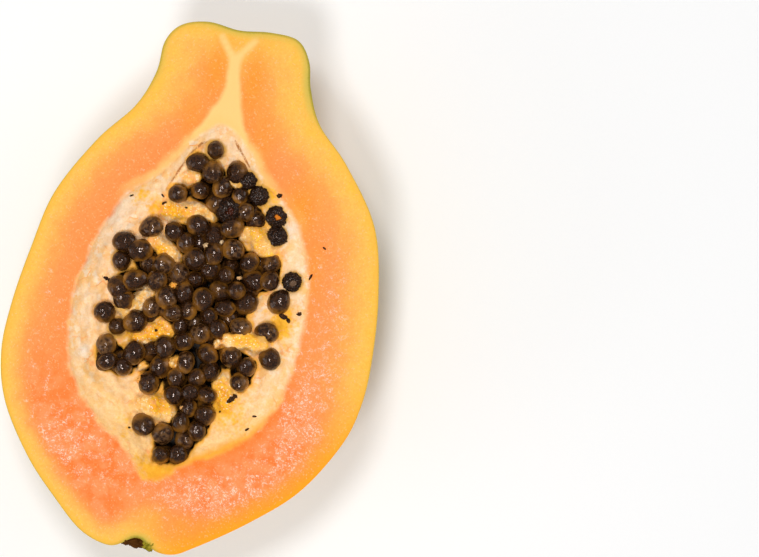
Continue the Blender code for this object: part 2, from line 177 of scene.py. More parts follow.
# The half fruit is one grown thing: a thin waxy skin, thick soft flesh, and a pale lumpy lining
# round the hollow. It is shaped from the outline of the cut, swung down to the belly line. The
# lining is torn and raised between the seeds, and sinks away under their heap.
OUTLINE = [
    (54.9, -12.0), (53.4, 8.0), (48.6, 28.0), (37.2, 44.6), (27.2, 55.0),
    (22.6, 65.0), (20.6, 73.2), (16.2, 78.8), (8.0, 79.7), (-1.5, 79.0),
    (-11.0, 79.6), (-18.8, 77.2), (-22.8, 71.5), (-23.7, 62.0), (-28.0, 51.2),
    (-37.6, 39.0), (-47.2, 21.5), (-51.2, 4.0), (-53.9, -13.0), (-54.4, -28.0),
    (-50.6, -42.5), (-41.0, -57.5), (-30.5, -68.6), (-21.8, -76.2), (-13.5, -79.2),
    (-6.0, -78.6), (5.5, -78.9), (12.5, -75.6), (27.0, -65.6), (40.5, -53.6),
    (50.2, -38.2), (54.0, -26.0),
]
RIM = [
    (33.2, -4.0), (31.0, 12.5), (25.0, 26.2), (14.5, 35.5), (7.8, 44.0),
    (-1.2, 50.2), (-8.0, 45.2), (-16.5, 33.5), (-27.5, 22.5), (-34.3, 4.0),
    (-36.2, -12.0), (-33.0, -30.0), (-22.5, -43.0), (-13.0, -50.0), (-4.5, -58.2),
    (6.0, -51.4), (20.5, -42.6), (29.0, -31.5), (32.2, -18.0),
]
HOLLOW_CENTRE = np.array((-1.0, -8.0))
SPINE_X = 0.5
SPINE_LOW = -11.0
SPINE_HIGH = 62.0
ROUNDNESS = 0.955
END_SQUARENESS = 1.1
SQUARE_FROM = 40.0
LOBE_SWELL = 0.012
CARPELS = 5
FLAT_CUT = 1.0
BLOSSOM_POLE = (-4.4, -78.6, 0.0)
BLOSSOM_DIP = 3.1
BLOSSOM_SPREAD = 4.2
STALK_POLE = (-1.5, 79.2, -8.0)
STALK_DIP = 1.6
STALK_SPREAD = 6.5
PULL_IN = 0.9985
ROWS = 90
STALK_SPOKES = 108
BLOSSOM_SPOKES = 224
HULL_BANDS = 34
FACE_BANDS = 20
LINING_BANDS = 92
LINING_REACH = 0.99
FAR = 99.0


def smooth_loop(points, steps=24):
    """A closed smooth curve through the points."""
    here = np.array(points)[:, None]
    before = np.roll(here, 1, 0)
    after = np.roll(here, -1, 0)
    beyond = np.roll(here, -2, 0)
    t = (np.arange(steps) / steps)[None, :, None]
    bend = 2 * before - 5 * here + 4 * after - beyond
    twist = 3 * here - before - 3 * after + beyond
    curve = here + 0.5 * ((after - before) * t + bend * t**2 + twist * t**3)
    return curve.reshape(-1, 2)


def points_along(path, count, crowding):
    """count + 1 points from end to end of a path, closer together in its middle by the crowding."""
    steps = np.linalg.norm(np.diff(path, axis=0), axis=1)
    run = np.concatenate([[0.0], np.cumsum(steps)])
    share = np.linspace(0.0, 1.0, count + 1)
    wanted = run[-1] * (share + crowding * np.sin(math.tau * share) / math.tau)
    return np.stack([np.interp(wanted, run, path[:, k]) for k in (0, 1)], axis=1)


def side_at(loop, y, right):
    """Where the loop crosses height y on its right or its left side."""
    side = loop[loop[:, 0] > SPINE_X] if right else loop[loop[:, 0] < SPINE_X]
    side = side[np.argsort(side[:, 1])]
    return np.interp(y, side[:, 1], side[:, 0])


def end_path(loop, y, stalk):
    """The part of the loop beyond height y, from one side to the other."""
    level = [(side_at(loop, y, True), y), (side_at(loop, y, False), y)]
    first, last = level if stalk else level[::-1]
    beyond = loop[loop[:, 1] > y] if stalk else loop[loop[:, 1] < y]
    turn = np.arctan2(beyond[:, 1] - y, beyond[:, 0] - SPINE_X)
    return np.vstack([first, beyond[np.argsort(turn)], last])


def spokes(loop):
    """Points round the cut edge, where the surface's strips start."""
    heights = np.linspace(SPINE_LOW, SPINE_HIGH, ROWS + 1)
    right = np.stack([side_at(loop, heights, True), heights], axis=1)
    left = np.stack([side_at(loop, heights, False), heights], axis=1)[::-1]
    stalk = points_along(end_path(loop, SPINE_HIGH, True), STALK_SPOKES, 0.0)[1:-1]
    blossom = points_along(end_path(loop, SPINE_LOW, False), BLOSSOM_SPOKES, 0.4)[1:-1]
    return np.vstack([right, stalk, left, blossom])


def dip(points, pole, amount, spread, towards):
    """Presses the skin in around a pole."""
    distance = np.linalg.norm(points - np.array(pole), axis=1)
    points[:, 1] += towards * amount * np.exp(-((distance / spread) ** 2))
    return points


def hull_ring(loop, edge, turn):
    """The skin at a share of the quarter turn from the cut edge, 0, down to the belly line, 1."""
    anchor_y = np.clip(edge[:, 1], SPINE_LOW, SPINE_HIGH)
    anchor = np.stack([np.full(len(edge), SPINE_X), anchor_y], axis=1)
    depth = ROUNDNESS * 0.5 * (side_at(loop, anchor_y, True) - side_at(loop, anchor_y, False))
    reach = edge - anchor
    angle = turn * math.pi / 2
    share = np.clip((edge[:, 1] - SQUARE_FROM) / (SPINE_HIGH - SQUARE_FROM), 0.0, 1.0)
    power = 2.0 / (2.0 + END_SQUARENESS * share * share * (3 - 2 * share))
    around = np.where(reach[:, 0] > 0, angle, math.pi - angle)
    sideways = reach[:, 0] / np.linalg.norm(reach, axis=1)
    swell = 1 + LOBE_SWELL * (np.cos(CARPELS * around) - np.cos(around)) * sideways**2
    out = max(math.cos(angle), 0.0) ** power * swell
    down = math.sin(angle) ** power * swell
    ring = np.column_stack([anchor + reach * out[:, None], -depth * down])
    ring = dip(ring, BLOSSOM_POLE, BLOSSOM_DIP, BLOSSOM_SPREAD, 1.0)
    return dip(ring, STALK_POLE, STALK_DIP, STALK_SPREAD, -1.0)


def rim_points(rim, edge):
    """The rim's point in the same direction from the hollow's centre as each point of the edge."""
    arm = rim - HOLLOW_CENTRE
    turn = np.arctan2(arm[:, 1], arm[:, 0])
    order = np.argsort(turn)
    wanted = np.arctan2(edge[:, 1] - HOLLOW_CENTRE[1], edge[:, 0] - HOLLOW_CENTRE[0])
    length = np.interp(wanted, turn[order], np.linalg.norm(arm, axis=1)[order], period=math.tau)
    return HOLLOW_CENTRE + length[:, None] * np.stack([np.cos(wanted), np.sin(wanted)], axis=1)


def way_to_path(points, path, closed=True):
    """The shortest way from each point to a path."""
    following = np.roll(path, -1, 0) if closed else path[1:]
    start = path if closed else path[:-1]
    nearest = np.full(len(points), np.inf)
    for a, run in zip(start, following - start):
        share = np.clip((points - a) @ run / max(run @ run, 1e-9), 0.0, 1.0)
        nearest = np.minimum(nearest, np.linalg.norm(points - a - share[:, None] * run, axis=1))
    return nearest


def rough(points, size):
    """Soft random values from -1 to 1 at points of the cut face, with lumps of a size."""
    return np.array([noise.noise(Vector((x, y, size)) / size) for x, y in points])


def soft_step(value, low, high):
    """0 at low, 1 at high, and a smooth rise between them."""
    share = np.clip((value - low) / (high - low), 0.0, 1.0)
    return share * share * (3 - 2 * share)


# The seeds' places are here because the lining sinks under their heap and is stained, with painted
# shade, round the single ones. The last place of HEAP_SEEDS belongs to the torn seed in the heap.
HEAP_SEEDS = [
    (-6.9, 37.6), (-1.8, 35.4), (1.6, 31.6), (-11.1, 27.5), (-4.5, 29.6), (7.3, 30.0), (0.6, 26.6),
    (10.2, 25.4), (13.0, 23.8), (6.3, 20.2), (1.8, 17.6), (-2.9, 18.9), (-9.7, 15.9), (-6.1, 13.6),
    (-2.3, 14.2), (2.8, 11.8), (8.2, 14.0), (13.7, 11.1), (19.8, 11.4), (19.8, 7.3), (16.7, 6.2),
    (-18.6, 8.4), (-15.9, 5.7), (-11.5, 4.9), (-6.4, 3.7), (-2.9, 9.7), (2.1, 6.8), (7.6, 6.2),
    (-1.4, 3.6), (-19.7, -0.4), (-22.8, -2.4), (-12.0, 1.8), (-4.1, -0.6), (2.6, -2.0), (6.0, 0.8),
    (11.4, 1.8), (14.8, -1.1), (-8.9, -3.8), (-12.4, -7.0), (-6.2, -7.6), (-2.0, -6.2), (4.6, -6.7),
    (9.1, -3.8), (8.0, -10.2), (-3.6, -10.8), (2.9, -12.4), (14.6, -8.7), (-1.4, -15.6), (6.2, -18.2),
    (13.2, -17.4), (18.4, -19.8), (17.0, -24.6), (-24.0, -21.3), (-22.8, -24.8), (-18.1, -25.9),
    (-15.3, -21.8), (-10.6, -20.6), (-6.9, -18.2), (-7.4, -24.0), (-9.5, -29.4), (0.3, -21.5),
    (8.2, -22.8), (4.4, -25.4), (-1.8, -26.6), (-1.4, -31.8), (3.0, -30.2), (7.9, -30.2), (4.2, -35.2),
    (8.0, -36.4), (2.0, -39.4), (6.9, -41.0), (-2.7, -43.8), (3.8, -44.6), (-2.3, -50.0), (2.8, -48.6),
    (4.8, 25.6),
]
LONE_SEEDS = [
    (-2.3, 42.2, 2.9), (5.3, 36.9, 3.6), (-17.3, 16.3, 3.5), (-24.0, 10.6, 3.4), (-24.3, 4.9, 3.1),
    (-17.0, -12.4, 3.8), (-26.5, -11.0, 3.3), (-21.4, -6.6, 3.3), (-21.8, -14.8, 2.7), (22.4, -8.5, 3.3),
    (24.8, -16.3, 3.5), (24.5, 1.2, 3.9), (-9.0, -42.3, 3.3),
]
TORN_SEEDS = [
    (8.9, 35.0, 2.6, 0.0, (0.02, 0.006, 0.003)), (13.0, 31.2, 2.9, 0.0, (0.015, 0.006, 0.003)),
    (19.2, 26.0, 3.2, 0.24, (0.75, 0.24, 0.02)), (20.4, 20.3, 3.0, 0.0, (0.03, 0.01, 0.004)),
    (27.2, 7.6, 2.9, 0.34, (0.16, 0.09, 0.05)), (4.9, 25.4, 4.0, 0.30, (0.06, 0.012, 0.004)),
]
HEAP_REACH = 3.4
BED_LEVEL = 0.62
BED_FLOOR = -11.0
PULP_COVER = 0.4
LINING_FALL = 5.0
LINING_TILT = 1.7
LINING_RUN = 6.0
LINING_TOP = 0.2
LUMPS = ((6.5, 1.1), (2.6, 0.75), (1.25, 0.32), (0.7, 0.12))
PULP_LOBES = [
    ((-13.0, 22.5), (-1.0, 23.0), 3.0, 3.6), ((-15.5, 12.2), (-9.5, 9.4), 3.0, 3.8),
    ((12.5, 19.8), (18.0, 15.8), 3.2, 3.0), ((12.0, -12.8), (21.0, -12.2), 2.8, 4.6),
    ((-15.0, -3.6), (-17.5, -7.6), 2.4, 3.2), ((-20.6, -10.4), (-22.0, -9.0), 1.8, 3.0),
    ((-14.5, -16.2), (-6.0, -12.6), 3.2, 3.0), ((-3.2, -21.5), (-3.6, -23.2), 1.8, 4.2),
    ((-12.4, -25.0), (-11.6, -24.0), 1.6, 3.6), ((-3.0, -36.8), (-9.5, -36.0), 3.4, 3.0),
    ((-8.5, 33.0), (-7.0, 33.6), 2.4, 3.2), ((4.0, 33.4), (6.4, 33.2), 1.4, 2.6),
    ((12.0, -26.5), (14.0, -30.5), 3.4, 1.8), ((8.4, -14.6), (8.6, -14.0), 1.4, 3.6),
    ((-7.0, 0.4), (-7.8, 0.2), 1.0, 4.4),
]
CORE_LINES = [
    (((-1.2, 45.5), (-0.9, 52.0), (-0.3, 57.9), (-0.6, 63.0), (-1.2, 69.5)), (8.2, 4.9, 2.7, 1.6, 1.4)),
    (((-1.3, 69.5), (-3.3, 72.0), (-6.2, 76.0)), (1.2, 0.7, 0.55)),
    (((-1.3, 69.5), (0.8, 72.2), (3.7, 76.4)), (1.2, 0.7, 0.55)),
]
CREASES = [
    ((3.0, 46.0), (5.8, 42.6), (8.6, 39.0)),
    ((-1.8, 45.6), (-6.6, 43.6), (-9.8, 39.2), (-12.6, 33.0), (-14.8, 28.0)),
]
heap_spots = np.array(HEAP_SEEDS)
lone_spots = np.array([seed[:2] for seed in LONE_SEEDS + TORN_SEEDS[:-1]])


def crowd(points):
    """How thickly the heap's seeds lie at each point: about 1 in the middle of a seed."""
    way = np.linalg.norm(points[:, None] - heap_spots[None], axis=2)
    return np.exp(-((way / HEAP_REACH) ** 2)).sum(1) + 0.2 * rough(points, 1.7)


def pulp_lobes(points):
    """How high the lobes of pulp stand at each point, and how much of a point is lobe."""
    ragged = 0.9 * rough(points, 2.3) + 0.45 * rough(points, 0.9)
    height = np.zeros(len(points))
    share = np.zeros(len(points))
    for a, b, radius, rise in PULP_LOBES:
        away = way_to_path(points, np.array((a, b)), closed=False) + ragged
        lobe = np.exp(-((np.maximum(away, 0.0) / radius) ** 4))
        height += rise * lobe
        share = np.maximum(share, lobe)
    return height + 0.5 * rough(points, 1.1) * share, share


def lining_heights(points, inset):
    """The lining's surface at points that lie inset inside the rim, with the heap's bed in it."""
    fall = LINING_FALL - LINING_TILT * points[:, 0] / RIM[0][0]
    height = -fall * (1 - np.exp(-inset / LINING_RUN))
    for size, rise in LUMPS:
        height += rise * rough(points, size) * (1 - np.exp(-inset / (0.6 * size)))
    lobes, share = pulp_lobes(points)
    height = np.minimum(height + lobes, LINING_TOP)
    under = soft_step(crowd(points) - PULP_COVER * share, BED_LEVEL - 0.1, BED_LEVEL + 0.15)
    return height * (1 - under) + BED_FLOOR * under


def core_insets(points):
    """How far each point lies inside the pale core of the neck, and below 0 outside it."""
    best = np.full(len(points), -FAR)
    for line, widths in CORE_LINES:
        for a, b, wide, wide_next in zip(line, line[1:], widths, widths[1:]):
            run = np.subtract(b, a)
            share = np.clip((points - a) @ run / (run @ run), 0.0, 1.0)
            away = np.linalg.norm(points - a - share[:, None] * run, axis=1)
            best = np.maximum(best, wide + (wide_next - wide) * share - away)
    return best


outline = smooth_loop(OUTLINE) * PULL_IN
rim = smooth_loop(RIM)
edge = spokes(outline)
ground = hull_ring(outline, edge, 1.0)[:, 2].min() + FLAT_CUT
TO_WORLD = np.array((*(-(outline.min(0) + outline.max(0)) / 2), -ground))

rings = []
for step in range(HULL_BANDS, -1, -1):
    ring = hull_ring(outline, edge, step / HULL_BANDS)
    ring[:, 2] = np.maximum(ring[:, 2], ground)
    rings.append(ring)
cut_edge = rings[-1][:, :2]
inner_edge = rim_points(rim, cut_edge)
for step in range(1, FACE_BANDS + 1):
    flat = cut_edge + (inner_edge - cut_edge) * step / FACE_BANDS
    rings.append(np.column_stack([flat, np.zeros(len(flat))]))
for step in range(1, LINING_BANDS + 1):
    flat = inner_edge + (HOLLOW_CENTRE - inner_edge) * min(step / LINING_BANDS, LINING_REACH)
    rings.append(np.column_stack([flat, lining_heights(flat, way_to_path(flat, rim))]))

points = np.concatenate(rings)
count = len(edge)
faces = []
for number in range(len(rings) - 1):
    for spoke in range(count):
        following = (spoke + 1) % count
        a, b = number * count + spoke, number * count + following
        faces.append((a, b, b + count, a + count))
faces.append([(len(rings) - 1) * count + spoke for spoke in range(count)])
in_skin = np.arange(len(faces)) < HULL_BANDS * count

on_cut = np.arange(len(points)) >= HULL_BANDS * count
in_lining = np.arange(len(points)) >= (HULL_BANDS + FACE_BANDS) * count
face_points = points[on_cut, :2]
lining_points = points[in_lining, :2]
skin_way = np.zeros(len(points))
skin_way[on_cut] = way_to_path(face_points, cut_edge)
rim_way = np.zeros(len(points))
rim_way[on_cut] = way_to_path(face_points, rim)
rim_way = np.where(in_lining, rim_way, -rim_way)
core_way = np.full(len(points), -FAR)
core_way[on_cut] = core_insets(face_points)
lone_way = np.full(len(points), FAR)
lone_way[in_lining] = np.linalg.norm(lining_points[:, None] - lone_spots[None], axis=2).min(1)
lobe = np.zeros(len(points))
lobe[in_lining] = pulp_lobes(lining_points)[1]
heap_crowd = np.zeros(len(points))
heap_crowd[in_lining] = crowd(lining_points) - PULP_COVER * lobe[in_lining]
crease_way = np.full(len(points), FAR)
creases = [way_to_path(lining_points, np.array(line), closed=False) for line in CREASES]
crease_way[in_lining] = np.min(creases, axis=0) + 0.3 * rough(lining_points, 3.0)
wide, tall = points[:, 0], points[:, 1]

# Soft patches of the cut face where a colour, or the wetness with its painted sheen, is stronger, or
# in the last two lists held back: x, y, half the width, half the height and the amount in the middle.
WET_SHEEN_PATCHES = [
    (14, -60, 28, 10, 1.0), (-30, -49, 14, 12, 0.9), (37, -38, 11, 22, 0.95),
    (-42, -22, 7, 24, 0.4), (42, 0, 12, 30, 0.6), (-30, 34, 9, 9, 0.2), (20, 44, 8, 16, 0.1),
]
AMBER_PATCHES = [
    (12, -31, 5, 7, 1.0), (-3, -55, 8, 5, 1.0), (26, -5, 5, 7, 1.0), (14, 20, 5, 5, 0.75),
    (-12, 22, 8, 2.5, 1.0), (-9, -14, 8, 4, 1.0), (-5, -35, 4, 4, 1.0), (17, -12, 6, 3, 1.0),
    (15, 32, 5, 5, 1.0), (20, 14, 4, 4, 0.7), (-20, -17, 6, 3, 0.8), (-13, 10, 3, 3, 0.9),
    (20, -36, 6, 8, 0.45), (-13, -42, 5, 5, 0.5), (-21, 26, 3, 3, 0.6),
]
CHALK_PATCHES = [
    (-27, 18, 5, 7, 0.55), (-2, 46, 6, 4, 0.25), (-31, 2, 3, 10, 0.15), (24, 23, 2.5, 2.0, 0.8),
    (-30.5, -23.5, 1.5, 2.0, 1.0),
]
ORANGE_PATCHES = [
    (-6.0, 66, 4.0, 9, 0.9), (5.4, 64, 3.6, 11, 0.9), (-11, 51, 4, 7, 0.6), (11, 48, 4, 9, 0.6),
    (-1.3, 75.5, 3, 3, 0.15), (26, 29, 5, 9, 0.95), (33, 12, 3, 10, 0.5),
]
GREEN_PATCHES = [
    (22, 68, 6, 16, 1.0), (-23, 66, 5, 12, 0.5), (0, 79, 20, 4, 0.8), (-3.5, -76.5, 5.5, 3.5, 1.0),
]
YELLOW_PATCHES = [(2, -79, 13, 9, 0.45), (2, -68, 9, 7, 0.55)]
NOT_ROSY = [(-1, -67, 10, 8, 0.9)]
NOT_PALE = [(21, 29, 7, 8, 0.9)]
YELLOW_ON_RIGHT = 0.45
YELLOW_ON_TOP = 0.85
YELLOW_LOW_DOWN = -0.22


def patchwork(patches):
    """The sum of soft patches at each point, from 0 to 1."""
    total = np.zeros(len(points))
    for x, y, half_width, half_height, amount in patches:
        away = ((wide - x) / half_width) ** 2 + ((tall - y) / half_height) ** 2
        total += amount * np.exp(-away)
    return np.clip(total, 0.0, 1.0)


def store(mesh, name, values):
    """Keeps a value for each vertex, for the material to read."""
    layer = mesh.attributes.new(name, "FLOAT", "POINT")
    layer.data.foreach_set("value", np.asarray(values, dtype=np.float32))


right_share = soft_step(wide, -5.0, 30.0)
low_share = soft_step(-tall, 12.0, 50.0)
top_share = soft_step(tall, 38.0, 62.0)
band_scale = 1.0 + YELLOW_ON_RIGHT * right_share * (1 - low_share) + YELLOW_ON_TOP * top_share
band_scale += patchwork(YELLOW_PATCHES) + YELLOW_LOW_DOWN * low_share

fruit_mesh = bpy.data.meshes.new("papaya_flesh")
fruit_mesh.from_pydata([tuple(point) for point in (points + TO_WORLD) * MM], [], faces)
for name, values in (
    ("skin_way", skin_way),
    ("band_way", skin_way / band_scale),
    ("rim_way", rim_way),
    ("core_way", core_way),
    ("crease_way", crease_way),
    ("lone_way", lone_way),
    ("heap_crowd", heap_crowd),
    ("lobe", lobe),
    ("wet", patchwork(WET_SHEEN_PATCHES)),
    ("amber", patchwork(AMBER_PATCHES)),
    ("chalk", patchwork(CHALK_PATCHES)),
    ("orange", patchwork(ORANGE_PATCHES)),
    ("green_edge", patchwork(GREEN_PATCHES)),
    ("rosy", low_share * (1 - patchwork(NOT_ROSY))),
    ("golden", low_share * soft_step(wide, -14.0, 12.0)),
    ("apex", soft_step(tall, 20.0, 34.0) * (1 - patchwork(NOT_PALE))),
):
    store(fruit_mesh, name, values)


def attribute_node(tree, name):
    """A value that the mesh keeps for each vertex."""
    node = tree.nodes.new("ShaderNodeAttribute")
    node.attribute_name = name
    return node.outputs["Fac"]


def mask_node(tree, value, low, high):
    """0 where the value is at low, 1 at high, with a soft step between."""
    node = tree.nodes.new("ShaderNodeMapRange")
    node.interpolation_type = "SMOOTHSTEP"
    node.inputs["From Min"].default_value = low
    node.inputs["From Max"].default_value = high
    tree.links.new(value, node.inputs["Value"])
    return node.outputs["Result"]


def math_node(tree, operation, first, second=0.0):
    """One sum of two sockets or numbers."""
    node = tree.nodes.new("ShaderNodeMath")
    node.operation = operation
    for value, socket in ((first, node.inputs[0]), (second, node.inputs[1])):
        if isinstance(value, float):
            socket.default_value = value
        else:
            tree.links.new(value, socket)
    return node.outputs["Value"]


def sway_node(tree, value, random_value, reach):
    """A value moved up and down by a random one, by up to about a quarter of the reach."""
    sway = math_node(tree, "MULTIPLY", math_node(tree, "SUBTRACT", random_value, 0.5), reach)
    return math_node(tree, "ADD", value, sway)


def thread_node(tree, value, width):
    """1 along the winding lines where a random value is 0.5, and 0 away from them."""
    away = math_node(tree, "ABSOLUTE", math_node(tree, "SUBTRACT", value, 0.5))
    return mask_node(tree, away, width, 0.25 * width)


def ramp_node(tree, value, stops):
    """A run of colours over a value, from stops of value and colour."""
    reach = stops[-1][0]
    node = tree.nodes.new("ShaderNodeValToRGB")
    while len(node.color_ramp.elements) < len(stops):
        node.color_ramp.elements.new(0.5)
    for element, (at, colour) in zip(node.color_ramp.elements, stops):
        element.position = at / reach
        element.color = (*colour, 1.0)
    tree.links.new(math_node(tree, "DIVIDE", value, float(reach)), node.inputs["Fac"])
    return node.outputs["Color"]


moist_grain = bpy.data.node_groups.new("moist_grain", "ShaderNodeTree")
moist_grain.interface.new_socket("Place", in_out="INPUT", socket_type="NodeSocketVector")
moist_grain.interface.new_socket("Coarseness", in_out="INPUT", socket_type="NodeSocketFloat")
for label in ("Grain", "Clouds", "Threads", "Sparkle_Specks"):
    moist_grain.interface.new_socket(label, in_out="OUTPUT", socket_type="NodeSocketFloat")
grain_in = moist_grain.nodes.new("NodeGroupInput")
grain_out = moist_grain.nodes.new("NodeGroupOutput")
shrink = moist_grain.nodes.new("ShaderNodeVectorMath")
shrink.operation = "DIVIDE"
moist_grain.links.new(grain_in.outputs["Place"], shrink.inputs[0])
moist_grain.links.new(grain_in.outputs["Coarseness"], shrink.inputs[1])
shrunk = shrink.outputs["Vector"]
threads = thread_node(moist_grain, noise_node(moist_grain, shrunk, 0.62, 1.0), 0.10)
pieces = mask_node(moist_grain, noise_node(moist_grain, shrunk, 0.5, 1.0), 0.46, 0.58)
threads = math_node(moist_grain, "MULTIPLY", threads, pieces)
# Small pale specks, which the materials paint as the glints of wet cells.
sparkle_specks = mask_node(moist_grain, noise_node(moist_grain, shrunk, 0.5, 0.0), 0.66, 0.78)
moist_grain.links.new(sparkle_specks, grain_out.inputs["Sparkle_Specks"])
moist_grain.links.new(noise_node(moist_grain, shrunk, 0.6, 3.0), grain_out.inputs["Grain"])
moist_grain.links.new(noise_node(moist_grain, shrunk, 5.0, 3.0), grain_out.inputs["Clouds"])
moist_grain.links.new(threads, grain_out.inputs["Threads"])


def grain_node(tree, place, coarseness):
    """The shared grain of moist food, placed in a material."""
    node = tree.nodes.new("ShaderNodeGroup")
    node.node_tree = moist_grain
    node.inputs["Coarseness"].default_value = coarseness
    tree.links.new(place, node.inputs["Place"])
    return node.outputs


flesh_look, tree, place, shader = new_material("cut_papaya_flesh", 0.5)
grain, clouds, threads, sparkle_specks = grain_node(tree, place, 1.0)
# Where the wet patches lie, the flesh is glossier and carries more painted sheen and painted glints.
wet_sheen_share = attribute_node(tree, "wet")
band = sway_node(tree, attribute_node(tree, "band_way"), clouds, 5.0)
flesh = ramp_node(tree, band, [
    (0.0, (0.97, 0.50, 0.045)), (2.5, (1.0, 0.49, 0.081)), (4.5, (1.0, 0.44, 0.081)),
    (7.0, (1.0, 0.35, 0.072)), (10.0, (1.0, 0.30, 0.071)), (18.0, (1.0, 0.262, 0.056)),
])
golden = attribute_node(tree, "golden")
golden_flesh = ramp_node(tree, band, [
    (0.0, (1.0, 0.35, 0.004)), (3.0, (1.0, 0.32, 0.018)), (6.0, (1.0, 0.30, 0.038)),
    (9.0, (1.0, 0.30, 0.072)), (14.0, (1.0, 0.265, 0.075)), (18.0, (1.0, 0.24, 0.058)),
])
flesh = blend_node(tree, golden, flesh, golden_flesh)
rosy = attribute_node(tree, "rosy")
rosy_share = math_node(tree, "MULTIPLY", rosy, mask_node(tree, band, 5.0, 12.0))
rosy_clouds = mask_node(tree, clouds, 0.40, 0.60)
rosy_flesh = blend_node(tree, rosy_clouds, (1.0, 0.200, 0.030), (1.0, 0.285, 0.088))
flesh = blend_node(tree, rosy_share, flesh, rosy_flesh)
flesh = blend_node(tree, attribute_node(tree, "orange"), flesh, (1.0, 0.305, 0.024))
flesh_grain = blend_node(tree, grain, (1.0, 0.80, 0.58), (1.0, 1.20, 1.42))
flesh = blend_node(tree, 1.0, flesh, flesh_grain, "MULTIPLY")
clusters = noise_node(tree, place, 2.4, 3.0)
level = math_node(tree, "ADD", clusters, math_node(tree, "MULTIPLY", wet_sheen_share, 0.34))
inside = mask_node(tree, band, 5.0, 10.0)
# Pale flecks along the threads: pale fibres of the flesh with painted glints of wet cells on them. They
# also make it glossier and lumpier.
fleck_glint_share = math_node(tree, "MULTIPLY", threads, mask_node(tree, level, 0.64, 0.90))
fleck_glint_share = math_node(tree, "MULTIPLY", fleck_glint_share, mask_node(tree, band, 4.0, 9.0))
# A pale pink veil where the wet patches are strongest: painted sheen of the wet flesh.
sheen_veil_share = math_node(tree, "MULTIPLY", inside, 0.35)
sheen_veil_share = math_node(tree, "MULTIPLY", mask_node(tree, level, 0.66, 1.0), sheen_veil_share)
flesh = blend_node(tree, sheen_veil_share, flesh, (1.0, 0.38, 0.19))
flesh = blend_node(tree, math_node(tree, "MULTIPLY", fleck_glint_share, 0.9), flesh, (1.0, 0.66, 0.50))
# Painted glints: small pale specks over the flesh.
flesh = blend_node(tree, math_node(tree, "MULTIPLY", sparkle_specks, 0.35), flesh, (1.0, 0.58, 0.28))
core_level = sway_node(tree, attribute_node(tree, "core_way"), clouds, 1.2)
flesh = blend_node(tree, mask_node(tree, core_level, -1.3, 0.7), flesh, (1.0, 0.60, 0.20))
edge_way = sway_node(tree, attribute_node(tree, "skin_way"), grain, 0.5)
green_share = attribute_node(tree, "green_edge")
green_band = math_node(tree, "MULTIPLY", green_share, mask_node(tree, edge_way, 4.2, 0.8))
flesh = blend_node(tree, green_band, flesh, (0.64, 0.47, 0.075))
peel = ramp_node(tree, edge_way, [
    (0.0, (0.60, 0.38, 0.035)), (0.35, (0.84, 0.45, 0.045)),
    (0.9, (0.95, 0.48, 0.055)), (1.8, (1.0, 0.48, 0.06)),
])
peel = blend_node(tree, golden, peel, (1.0, 0.35, 0.004))
peel = blend_node(tree, green_share, peel, (0.60, 0.45, 0.065))
green_line = math_node(tree, "MULTIPLY", green_share, mask_node(tree, edge_way, 1.0, 0.1))
peel = blend_node(tree, green_line, peel, (0.29, 0.25, 0.015))
flesh = blend_node(tree, mask_node(tree, edge_way, 1.6, 0.5), flesh, peel)

cream = blend_node(tree, mask_node(tree, clouds, 0.38, 0.64), (1.0, 0.66, 0.36), (1.0, 0.55, 0.19))
pale_patches = mask_node(tree, noise_node(tree, place, 2.1, 3.0), 0.48, 0.66)
cream = blend_node(tree, pale_patches, cream, (1.0, 0.73, 0.47))
cream = blend_node(tree, math_node(tree, "MULTIPLY", rosy, 0.8), cream, (1.0, 0.60, 0.22))
cream = blend_node(tree, attribute_node(tree, "chalk"), cream, (0.94, 0.77, 0.60))
patches = noise_node(tree, place, 3.0, 2.0)
lobe_share = attribute_node(tree, "lobe")
cells = tree.nodes.new("ShaderNodeTexVoronoi")
cells.inputs["Scale"].default_value = 0.85
tree.links.new(place, cells.inputs["Vector"])
crumbs = mask_node(tree, cells.outputs["Distance"], 0.75, 0.15)
amber_level = math_node(tree, "MULTIPLY", patches, 1.2)
amber_level = math_node(tree, "ADD", attribute_node(tree, "amber"), amber_level)
amber_level = sway_node(tree, amber_level, crumbs, 0.25)
cream = blend_node(tree, mask_node(tree, amber_level, 0.80, 1.45), cream, (1.0, 0.49, 0.028))
# On the lobes each small lump is painted lighter on top, a painted highlight, and darker and yellower in
# the hollows between, painted shade with some of the pulp's own yellow.
crumb_light_and_shade = blend_node(tree, crumbs, (0.94, 0.76, 0.34), (1.02, 1.12, 1.12))
cream = blend_node(tree, lobe_share, cream, blend_node(tree, 1.0, cream, crumb_light_and_shade, "MULTIPLY"))
# Painted glints: the same small pale specks on the pulp lobes.
cream = blend_node(tree, math_node(tree, "MULTIPLY", sparkle_specks, lobe_share), cream, (1.0, 0.85, 0.62))
vein = thread_node(tree, noise_node(tree, place, 7.0, 2.0), 0.018)
vein = math_node(tree, "MULTIPLY", vein, mask_node(tree, clouds, 0.42, 0.68))
cream = blend_node(tree, vein, cream, (1.0, 0.42, 0.13))
crease = mask_node(tree, attribute_node(tree, "crease_way"), 0.50, 0.05)
crease = math_node(tree, "MULTIPLY", crease, mask_node(tree, grain, 0.30, 0.55))
cream = blend_node(tree, crease, cream, (0.46, 0.17, 0.035))
cream_grain = blend_node(tree, grain, (0.88, 0.80, 0.62), (1.12, 1.18, 1.34))
cream = blend_node(tree, 1.0, cream, cream_grain, "MULTIPLY")
heap_level = math_node(tree, "MULTIPLY", patches, 0.3)
heap_level = math_node(tree, "ADD", attribute_node(tree, "heap_crowd"), heap_level)
